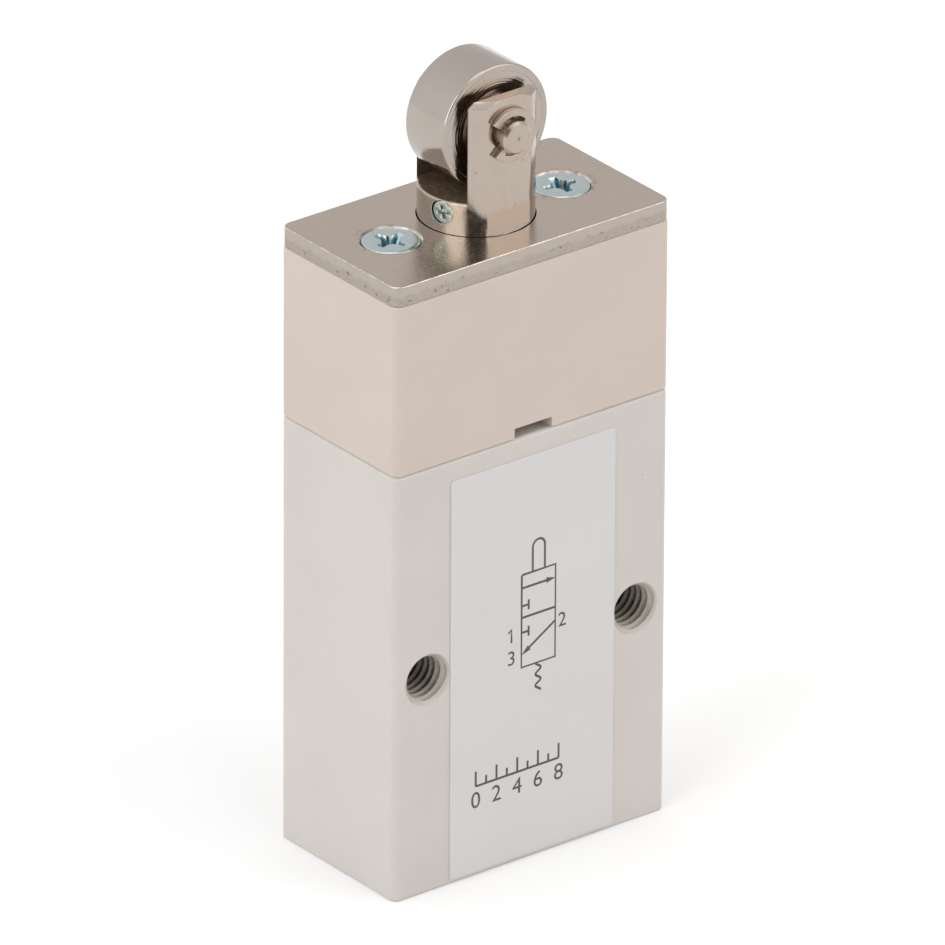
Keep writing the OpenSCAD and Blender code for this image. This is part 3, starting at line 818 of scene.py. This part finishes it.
    def recipe(self, name):
        """How a finish is made: its method and what that is given."""
        c = self.colours
        return {
            "coat": (self.smooth_coat, "Cream coat", c.coat, 0.42, 0.22, 0.006),
            "plastic": (self.smooth_coat, "Head plastic", c.plastic, 0.48, 0.16, 0.006, 0.04, 0.7),
            "film": (self.smooth_coat, "Label film", c.film, 0.36, 0.9, 0.002, 0.03, 0.0),
            "ink": (self.smooth_coat, "Label ink", c.ink, 0.5, 0.1, 0.002, 0.3, 0.0),
            "seal": (self.smooth_coat, "Seal rubber", c.seal, 0.55, 0.12, 0.006, 0.3, 0.0),
            "plate": (self.stamped_plate, "Plate nickel", c.plate),
            "fork": (self.milled_metal, "Fork nickel", c.nickel, 0.13),
            "roller": (self.turned_metal, "Roller nickel", c.roller, 0.1, ROUND_AXLE, 0.24, 0.03, 0.2, 0.0),
            "axle": (self.turned_metal, "Axle nickel", c.pin, 0.26, ROUND_AXLE, 0.12, 0.003),
            "clip": (self.turned_metal, "Clip nickel", c.pin, 0.36, ROUND_AXLE, 0.3, 0.001),
            "zinc": (self.plated_metal, "Blue zinc", c.zinc, 0.2, 0.002, c.blue),
            "side_zinc": (self.plated_metal, "Pale zinc", c.side_zinc, 0.24, 0.001, c.side_zinc),
            "thread": (self.thread_metal, "Cut thread", c.thread),
            "wire": (self.turned_metal, "Spring wire", c.wire, 0.3, ROUND_VALVE, 0.1, 0.002),
            "bronze": (self.turned_metal, "Bush bronze", c.bronze, 0.4, ROUND_AXLE, 0.1, 0.004),
            "brass": (self.turned_metal, "Plug brass", c.brass, 0.25, ROUND_VALVE, 0.12, 0.004),
            "alloy": (self.turned_metal, "Spool alloy", c.alloy, 0.25, ROUND_VALVE, 0.1, 0.003),
            "phosphate": (self.dark_metal, "Dark phosphate", c.phosphate, 0.5),
        }[name]

    def get(self, name):
        """The named finish."""
        if name not in self.made:
            make, *given = self.recipe(name)
            self.made[name] = make(*given)
        return self.made[name]


finishes = {}


def finish(name):
    """The named finish, made from the scene's colours when first asked for."""
    if "kit" not in finishes:
        finishes["kit"] = Finishes(bpy.context.scene.valve_finish)
    return finishes["kit"].get(name)


# Pieces


def inside_thread(name, outer_d, crest_d, pitch, depth, s):
    """A threaded liner round Y, from y = 0 to y = depth, with countersunk ends and a plain wall behind."""
    wall = (outer_d - s.root_gap) / 2
    root, crest = outer_d / 2 - s.root_gap, crest_d / 2
    mean, half = (root + crest) / 2, (root - crest) / 2
    points, hair = 10, 0.002 * MM
    rises = [(mean + half * cos(tau * n / points), pitch * n / points) for n in range(points + 1)]
    piece = chain(name, [(radius, y - 1.5 * pitch, 0) for radius, y in rises])
    modify(piece, "SCREW", axis="Y", screw_offset=pitch, iterations=ceil(depth / pitch) + 2, steps=s.steps,
           render_steps=s.steps, use_merge_vertices=True, merge_threshold=MERGE)
    edit_mode()
    select_mesh()
    bpy.ops.mesh.remove_doubles(threshold=MERGE)
    for y, clear in ((0, "clear_inner"), (depth, "clear_outer")):
        select_mesh()
        bpy.ops.mesh.bisect(plane_co=(0, y, 0), plane_no=(0, 1, 0), threshold=MERGE, **{clear: True})
    object_mode()
    for vertex in piece.data.vertices:
        x, y, z = vertex.co
        reach = hypot(x, z)
        wider = max(reach, wall - min(y, depth - y)) / reach
        vertex.co = (x * wider, y, z * wider)
    edit_mode()
    select_mesh("DESELECT")
    bpy.ops.mesh.select_non_manifold(extend=False)
    bpy.ops.mesh.bridge_edge_loops()
    close_mesh()
    depths = piece.data.attributes.new(ROOT, "FLOAT", "POINT").data
    for vertex, value in zip(piece.data.vertices, depths):
        x, y, z = vertex.co
        reach, sunk = hypot(x, z), min(y, depth - y)
        # Painted shade: the roots' shade value stays off in the mouth and builds up behind it
        fade = min(1, max(0, (sunk - s.clean) / s.oily_shade))
        in_mouth = reach + sunk < wall + hair
        value.value = MOUTH if in_mouth else fade * (reach - crest) / (root - crest)
    return piece


def cross_outline(reach, width, core):
    """Outline of a cross recess whose arms are parted by round noses."""
    tip, half = reach / 2, width / 2
    flank, nose = 0.76 * tip, core / 2 / sqrt(2)
    centre = (flank ** 2 + half ** 2 - 2 * nose ** 2) / (2 * (flank + half - 2 * nose))
    radius = sqrt(2) * (centre - nose)
    first = atan2(half - centre, flank - centre) % tau
    last = atan2(flank - centre, half - centre) % tau
    turns = [first + (last - first) * n / 8 for n in range(9)]
    noses = [(centre + radius * cos(t), centre + radius * sin(t)) for t in turns]
    quarter = [(tip, half), *noses, (half, tip)]
    outline = []
    for arm in range(4):
        outline += quarter
        quarter = [(-y, x) for x, y in quarter]
    return outline


def wires(name, chains, thickness, rounds):
    """Round wires through chains of points, as one mesh."""
    line = bpy.data.curves.new(name, "CURVE")
    line.dimensions = "3D"
    line.bevel_depth = thickness / 2
    line.bevel_resolution = rounds
    line.use_fill_caps = True
    for points in chains:
        path = line.splines.new("POLY")
        path.points.add(len(points) - 1)
        for on_path, point in zip(path.points, points):
            on_path.co = (*point, 1)
    return to_mesh(linked(name, line))


def coil(name, node, wire, turns):
    """A smooth coil spring in a CAD spring's place, with one closed turn at each end."""
    low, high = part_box(node)
    mean = (high.x - low.x - wire) / 2
    closed, steps = wire * 1.05, 40
    first, last = low.z + wire / 2, high.z - wire / 2
    points = []
    for turn in (n / steps for n in range(turns * steps + 1)):
        if turn < 1:
            z = first + closed * turn
        elif turn > turns - 1:
            z = last - closed * (turns - turn)
        else:
            z = first + closed + (last - first - 2 * closed) * (turn - 1) / (turns - 2)
        points.append((mean * cos(tau * turn), mean * sin(tau * turn), z))
    piece = wires(name, [points], wire, 4)
    edit_mode()
    close_mesh()
    return piece


def ink_lines(name, chains, width, ink):
    """Printed lines on the label, given as chains of (x, z) points."""
    piece = wires(name, [[(x, 0, z) for x, z in points] for points in chains], width, 2)
    place(piece, shift(0, LABEL_FACE, 0) @ Matrix.Diagonal((1, 2 * ink / width, 1, 1)))
    return piece


def ink_arrow(start, tip, size, ink):
    """Filled arrow head on the label, at the tip of a line."""
    tip = Vector(tip)
    along = (tip - Vector(start)).normalized()
    base, half = tip - along * size, Vector((-along.y, along.x)) * size * 0.28
    piece = prism("arrow", [tip, base + half, base - half], 0, ink)
    place(piece, shift(0, LABEL_FACE, 0) @ swing(90, "X"))
    return piece


def ink_digit(text, x, z, height, ink):
    """Plain number on the label, centred on a point."""
    drop_selection()
    bpy.ops.object.text_add()
    data = bpy.context.object.data
    data.body = text
    data.size = height / 0.73
    data.extrude = ink
    data.align_x = data.align_y = "CENTER"
    piece = to_mesh(bpy.context.object)
    place(piece, shift(x, LABEL_FACE, z) @ swing(90, "X"))
    return piece


def figure_one(x, z, height):
    """Chain of a figure one with its flag, centred on a point."""
    return [(x - 0.26 * height, z + 0.27 * height), (x, z + height / 2), (x, z - height / 2)]


def symbol(p):
    """The valve symbol: its chains, the (start, tip) of its two flow lines and its numbers' places."""
    left, right = p.symbol_x - p.symbol_w / 2, p.symbol_x + p.symbol_w / 2
    top, mid, low = p.symbol_top, p.symbol_mid, p.symbol_low
    upper, lower = top - mid, mid - low
    stop, stops = left + 0.21 * p.symbol_w, (top - 0.73 * upper, mid - 0.3 * lower)
    bar = short = 0.5 * MM
    push_r = p.push_w / 2
    dome = arc((p.symbol_x, top + p.push_h - push_r), (push_r, push_r), 0, 180, 14)
    wave_h, wave_w, waves = 2.9 * MM, 0.3 * MM, [n / 40 for n in range(41)]
    flow_z = top - 0.31 * upper
    drain, drain_z = mid - 0.27 * lower, low + 0.25 * lower
    chains = [
        [(left, top), (right, top), (right, low), (left, low), (left, top)],
        [(left, mid), (right, mid)],
        [(p.symbol_x + push_r, top), *dome, (p.symbol_x - push_r, top)],
        [(left, flow_z), (right - short, flow_z)],
        [(right, drain), (left + short, drain_z + (drain - drain_z) * short / p.symbol_w)],
        [(p.symbol_x - wave_w * cos(tau * 2.5 * w), low - wave_h * w) for w in waves],
        *([(left, z), (stop, z)] for z in stops),
        *([(stop, z - bar), (stop, z + bar)] for z in stops),
    ]
    flows = [((left, flow_z), (right, flow_z)), ((right, drain), (left, drain_z))]
    beside = left - 1.15 * MM
    places = [(beside, stops[1]), (right + 0.8 * MM, mid - 0.31 * lower), (beside, mid - 0.76 * lower)]
    return chains, flows, places


def scale_lines(p):
    """Chains of a plain pressure scale: a base line and nine ticks."""
    left, z = p.scale_x - p.scale_w / 2, p.scale_z
    marks = [(left + p.scale_w * n / 8, (1.5 if n % 2 == 0 else 0.8) * MM) for n in range(9)]
    return [[(left, z), (left + p.scale_w, z)]] + [[(x, z), (x, z + h)] for x, h in marks]


class PieceOperator:
    """What all the valve's operators share."""

    bl_options = {"REGISTER", "UNDO"}


class VALVE_OT_housing(PieceOperator, bpy.types.Operator):
    """Finishes the valve body, the head, the plate and the plug"""

    bl_idname = "air_valve.housing"
    bl_label = "Housing"

    def execute(self, context):
        dress(valve_body="coat", head_housing="plastic", top_plate="plate",
              bottom_plug="brass", plug_ring="seal", plug_clip="phosphate")
        return {"FINISHED"}


class VALVE_OT_mount_threads(PieceOperator, bpy.types.Operator):
    """Threads the two mounting holes"""

    bl_idname = "air_valve.mount_threads"
    bl_label = "Mounting threads"

    def execute(self, context):
        t = context.scene.valve_threads
        depth = BACK - FRONT - 2 * t.mouth
        holes = next(m for m in frame["record"]["mounts"] if m["name"] == "mounting_holes")
        spacing = holes["dims"]["spacing_x_mm"] * MM
        for side, x in (("left", -spacing / 2), ("right", spacing / 2)):
            piece = inside_thread("mount_thread_" + side, t.mount_d, t.mount_crest_d, t.mount_pitch, depth, t)
            place(piece, shift(x, FRONT + t.mouth, holes["pos_m"][2]))
            hand_over(piece, HOUSING, "body_coat", "thread")
        return {"FINISHED"}


class VALVE_OT_port_threads(PieceOperator, bpy.types.Operator):
    """Threads the three ports"""

    bl_idname = "air_valve.port_threads"
    bl_label = "Port threads"

    def execute(self, context):
        t = context.scene.valve_threads
        for port in (m for m in frame["record"]["mounts"] if m["kind"] == "threaded_hole"):
            depth = port["dims"]["length_mm"] * MM
            floor = BACK - depth - 0.3 * MM
            name = port["name"] + "_thread"
            piece = inside_thread(name, t.port_d, t.port_crest_d, t.port_pitch, depth - t.mouth, t)
            place(piece, shift(0, floor, port["pos_m"][2]))
            hand_over(piece, HOUSING, "body_coat", "thread")
        return {"FINISHED"}


class VALVE_OT_plate_screws(PieceOperator, bpy.types.Operator):
    """Models the two countersunk plate screws"""

    bl_idname = "air_valve.plate_screws"
    bl_label = "Plate screws"

    def execute(self, context):
        s = context.scene.valve_screws
        low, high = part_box("plate_screws")
        r, shank, tip = s.head_d / 2, s.shank_d / 2, 0.4 * MM
        top, over = high.z + s.lift, 0.05 * MM
        crown = arc((r - s.crown_w, top - s.crown_h), (s.crown_w, s.crown_h), 90, 0, 8)
        rim = top - s.crown_h - s.rim
        foot = [(r, rim), (shank, rim - (r - shank)), (shank, low.z + tip), (shank - tip, low.z), (0, low.z)]
        outline = cross_outline(s.recess_l, s.recess_w, s.recess_core)
        screws = []
        for x, turn in ((-SCREW_X, LEFT_TURN), (SCREW_X, RIGHT_TURN)):
            screw = turned("plate_screw", [(0, top), *crown, *foot], 96)
            cut(screw, prism("recess", outline, top - s.recess_depth, top + over, 0.7))
            soften(screw, s.edge)
            place(screw, shift(x, 0, 0) @ swing(turn, "Z"))
            screws.append(screw)
        piece = merge_pieces(screws)
        piece.name = "plate_screw_pair"
        hand_over(piece, HOUSING, "screw_zinc", "zinc", "plate_screws", even=True)
        return {"FINISHED"}


class VALVE_OT_label(PieceOperator, bpy.types.Operator):
    """Finishes the label and prints its valve symbol, port numbers and pressure scale"""

    bl_idname = "air_valve.label"
    bl_label = "Label"

    def execute(self, context):
        p = context.scene.valve_print
        dress(label="film")
        chains, flows, places = symbol(p)
        one = figure_one(*places[0], 0.9 * p.digit)
        parts = [ink_lines("label_print", chains + scale_lines(p) + [one], p.line, p.ink)]
        parts += [ink_arrow(start, tip, p.arrow, p.ink) for start, tip in flows]
        parts += [ink_digit(text, *at, p.digit, p.ink) for text, at in zip("23", places[1:])]
        left, below = p.scale_x - p.scale_w / 2, p.scale_z - 1.5 * MM
        for n in range(5):
            parts.append(ink_digit(str(2 * n), left + p.scale_w * n / 4, below, p.scale_digit, p.ink))
        piece = merge_pieces(parts)
        edit_mode()
        close_mesh()
        hand_over(piece, HOUSING, "label_film", "ink")
        return {"FINISHED"}


class VALVE_OT_plunger(PieceOperator, bpy.types.Operator):
    """Finishes the fork, the core, the axle, its washers and its clips"""

    bl_idname = "air_valve.plunger"
    bl_label = "Plunger"

    def execute(self, context):
        s = context.scene.valve_roller
        dress(plunger_core="phosphate", roller_axle="axle", axle_washers="axle")
        outwards = Vector((SIDE_SCREW.x, SIDE_SCREW.y, 0)).normalized()
        across, room = Vector((-outwards.y, outwards.x, 0)), 1.2 * MM
        turns = [radians(45 * n) for n in range(8)]
        ways = [across * cos(t) + Vector((0, 0, sin(t))) for t in turns]
        r, top, over = extent("roller_fork").x / 2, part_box("roller_fork")[1].z, 0.1 * MM
        mouth = outwards * r + Vector((0, 0, SIDE_SCREW.z))
        inner, foot = r - s.ear_chamfer - over, top - s.ear_chamfer - over
        corner = [(inner, top + over), (r + over, top + over), (r + over, foot), (inner, top + over)]
        ring = turned("ear_ring", corner, 128)
        cuts = [(mouth + way * room, way) for way in ways]
        fork = softened("roller_fork", "fork", s.fork_edge, cuts, (mouth, room), ring)
        hand_over(fork, PLUNGER, "fork_nickel", "fork", "roller_fork", even=True)
        clips = softened("axle_clips", "clip_pair", s.clip_edge)
        hand_over(clips, PLUNGER, "fork_nickel", "clip", "axle_clips", even=True)
        return {"FINISHED"}


class VALVE_OT_side_screw(PieceOperator, bpy.types.Operator):
    """Models the side screw with its cross recess"""

    bl_idname = "air_valve.side_screw"
    bl_label = "Side screw"

    def execute(self, context):
        s = context.scene.valve_screws
        outwards = Vector((SIDE_SCREW.x, SIDE_SCREW.y, 0)).normalized()
        half, shank = s.side_head_d / 2, s.side_shank_d / 2
        reach = (abs(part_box("side_screw")[0].x) - half * abs(outwards.y)) / abs(outwards.x)
        inner = 2 * Vector((SIDE_SCREW.x, SIDE_SCREW.y)).length - reach
        seat, crown, over = reach - 0.65 * MM, 0.12 * MM, 0.2 * MM
        border = arc((half - crown, reach - crown), (crown, crown), 80, 0, 6)
        foot = [(half, seat), (shank, seat), (shank, inner), (0, inner)]
        screw = turned("side_screw_head", [(0, reach), *border, *foot], 48)
        x, y = s.cross_l / 2, s.cross_w / 2
        for turn in (0, 90):
            bar = [(-x, -y), (x, -y), (x, y), (-x, y)]
            slot = prism("slot", bar, reach - s.cross_depth, reach + over, 0.75)
            place(slot, swing(turn, "Z"))
            cut(screw, slot)
        soften(screw, s.side_edge)
        way = outwards.to_track_quat("Z", "Y").to_matrix().to_4x4()
        place(screw, shift(0, 0, SIDE_SCREW.z) @ way @ swing(SIDE_TURN, "Z"))
        hand_over(screw, PLUNGER, "screw_zinc", "side_zinc", "side_screw", even=True)
        return {"FINISHED"}


class VALVE_OT_roller(PieceOperator, bpy.types.Operator):
    """Models the roller with its stepped, turned faces and finishes its bush"""

    bl_idname = "air_valve.roller"
    bl_label = "Roller"

    def execute(self, context):
        s = context.scene.valve_roller
        r, half = extent("roller").z / 2, extent("roller").y / 2
        bore = extent("roller_bush").z / 2 + s.bore_gap
        ring, step, e = s.ring_d / 2, s.ring_depth, s.edge
        face = [(bore, half - step), (ring - step, half - step), (ring, half)]
        side = face + arc((r - e, half - e), (e, e), 90, 0, 8)
        profile = side + [(radius, -height) for radius, height in reversed(side)]
        piece = turned("roller_wheel", profile + profile[:1], s.steps)
        place(piece, shift(*AXLE) @ swing(90, "X"))
        hand_over(piece, WHEEL, "roller_nickel", "roller", "roller")
        dress(roller_bush="bronze")
        return {"FINISHED"}


class VALVE_OT_springs(PieceOperator, bpy.types.Operator):
    """Winds the plunger spring and the spool spring, which shorten with the plunger"""

    bl_idname = "air_valve.springs"
    bl_label = "Springs"

    def execute(self, context):
        s = context.scene.valve_springs
        for node, joint, wire, turns in (("plunger_spring", "plunger_slide", s.plunger_wire, s.plunger_turns),
                                         ("spool_spring", "spool_slide", s.spool_wire, s.spool_turns)):
            piece = coil(node + "_coil", node, wire, turns)
            hand_over(piece, HOUSING, "spring_steel", "wire", node, smooth=60)
            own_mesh(piece)
        return {"FINISHED"}


class VALVE_OT_spool(PieceOperator, bpy.types.Operator):
    """Finishes the spool and its seal rings"""

    bl_idname = "air_valve.spool"
    bl_label = "Spool"

    def execute(self, context):
        dress(spool="alloy", spool_rings="seal")
        return {"FINISHED"}


class VALVE_OT_stage(PieceOperator, bpy.types.Operator):
    """Sets up the floor, the light and the camera"""

    bl_idname = "air_valve.stage"
    bl_label = "Stage"

    def execute(self, context):
        scene = context.scene
        scene.view_settings.view_transform = "Standard"
        self.floor(scene.valve_stage)
        self.sky(scene, scene.valve_stage)
        self.camera(scene, scene.valve_stage)
        return {"FINISHED"}

    def floor(self, s):
        """A wide pale floor just under the valve."""
        drop_selection()
        bpy.ops.mesh.primitive_plane_add(size=6, location=(0, 0, -0.02 * MM))
        floor = bpy.context.object
        floor.name = "floor"
        material = bpy.data.materials.new("Floor")
        material.use_nodes = True
        tree = material.node_tree
        tree.nodes.clear()
        pale = put(tree, "BsdfDiffuse", {"Color": rgba(s.floor)})[0]
        rays = put(tree, "LightPath")
        seen = Field(tree, rays["Is Camera Ray"]).most(rays["Is Glossy Ray"])
        seen = seen.most(rays["Is Transmission Ray"])
        glow = put(tree, "Emission", {"Strength": seen * s.floor_glow})[0]
        both = put(tree, "AddShader", {0: pale, 1: glow})[0]
        put(tree, "OutputMaterial", {"Surface": both})
        floor.data.materials.append(material)

    def sky(self, scene, s):
        """Soft light all round, brighter from the left, with softboxes and a dark room behind the camera."""
        world = bpy.data.worlds.new("Studio")
        scene.world = world
        world.use_nodes = True
        tree = world.node_tree
        tree.nodes.clear()
        x, y, z = axes(tree, field(tree, "TexCoord", output="Generated"))
        turn = reckon(tree, "ARCTAN2", x, y * -1)
        rise = reckon(tree, "ARCSINE", z)
        soft = radians(3)
        band = rise.span(s.low_edge - soft, s.low_edge + soft, smooth=True)
        band = band * rise.span(s.high_edge + soft, s.high_edge - soft, smooth=True)
        light = x.span(-1, 1).tint(rgba(s.sky_left, s.sky_level), rgba(s.sky_right, s.sky_level))
        front = y.span(-1, 1, 1 + s.sky_front, 1 - s.sky_front)
        light = field(tree, "VectorMath", {0: light, "Scale": front}, operation="SCALE")
        for at, half, shade in ((s.azimuth, s.dark_half, rgba(DARK_ROOM)),
                                (s.left_box_at, s.box_half, rgba(WHITE, s.left_box)),
                                (s.right_box_at, s.box_half, rgba(WARM_WHITE, s.right_box))):
            patch = band * abs(turn - at).span(half + soft, half - soft, smooth=True)
            light = patch.tint(light, shade)
        overhead = rise.span(s.top_edge - soft, s.top_edge + soft, smooth=True)
        light = overhead.tint(light, rgba(WHITE, s.top_box))
        put(tree, "OutputWorld", {0: put(tree, "Background", {0: light})[0]})

    def camera(self, scene, s):
        """A long lens at the photograph's angle."""
        turn, lift = s.azimuth, s.elevation
        back = Vector((sin(turn) * cos(lift), -cos(turn) * cos(lift), sin(lift)))
        flat_right = Vector((cos(turn), sin(turn), 0))
        flat_up = back.cross(flat_right)
        right = cos(s.roll) * flat_right + sin(s.roll) * flat_up
        up = cos(s.roll) * flat_up - sin(s.roll) * flat_right
        at = Vector((0, 0, s.target_z)) + back * s.distance + right * s.slide + up * s.rise
        data = bpy.data.cameras.new("camera")
        data.lens, data.sensor_width = s.lens, 36
        data.clip_start, data.clip_end = 0.05, 50
        camera = bpy.data.objects.new("camera", data)
        scene.collection.objects.link(camera)
        camera.matrix_world = Matrix.Translation(at) @ Matrix((right, up, back)).transposed().to_4x4()
        scene.camera = camera


class VALVE_PT_pieces(bpy.types.Panel):
    """Lists the valve's pieces and settings"""

    bl_idname = "VALVE_PT_pieces"
    bl_label = "Air Valve"
    bl_space_type = "VIEW_3D"
    bl_region_type = "UI"
    bl_category = "Air Valve"

    def draw(self, context):
        for operator in OPERATORS:
            self.layout.operator(operator.bl_idname)
        for name, kind in SETTINGS.items():
            column = self.layout.column(heading=kind.__doc__)
            for key in kind.__annotations__:
                column.prop(getattr(context.scene, name), key)


SETTINGS = {
    "valve_threads": ThreadSettings,
    "valve_screws": ScrewSettings,
    "valve_roller": RollerSettings,
    "valve_springs": SpringSettings,
    "valve_print": PrintSettings,
    "valve_finish": FinishSettings,
    "valve_stage": StageSettings,
}
OPERATORS = (
    VALVE_OT_housing,
    VALVE_OT_mount_threads,
    VALVE_OT_port_threads,
    VALVE_OT_plate_screws,
    VALVE_OT_label,
    VALVE_OT_plunger,
    VALVE_OT_side_screw,
    VALVE_OT_roller,
    VALVE_OT_springs,
    VALVE_OT_spool,
    VALVE_OT_stage,
)
CLASSES = (*SETTINGS.values(), *OPERATORS, VALVE_PT_pieces)


def register():
    for kind in CLASSES:
        bpy.utils.register_class(kind)
    for name, kind in SETTINGS.items():
        setattr(bpy.types.Scene, name, PointerProperty(type=kind))


def unregister():
    for name in SETTINGS:
        delattr(bpy.types.Scene, name)
    for kind in reversed(CLASSES):
        bpy.utils.unregister_class(kind)


def main():
    """Builds every piece and the stage, then writes the CAD box and the visual box."""
    register()
    for operator in OPERATORS:
        family, name = operator.bl_idname.split(".")
        getattr(getattr(bpy.ops, family), name)()


if __name__ == "__main__":
    main()
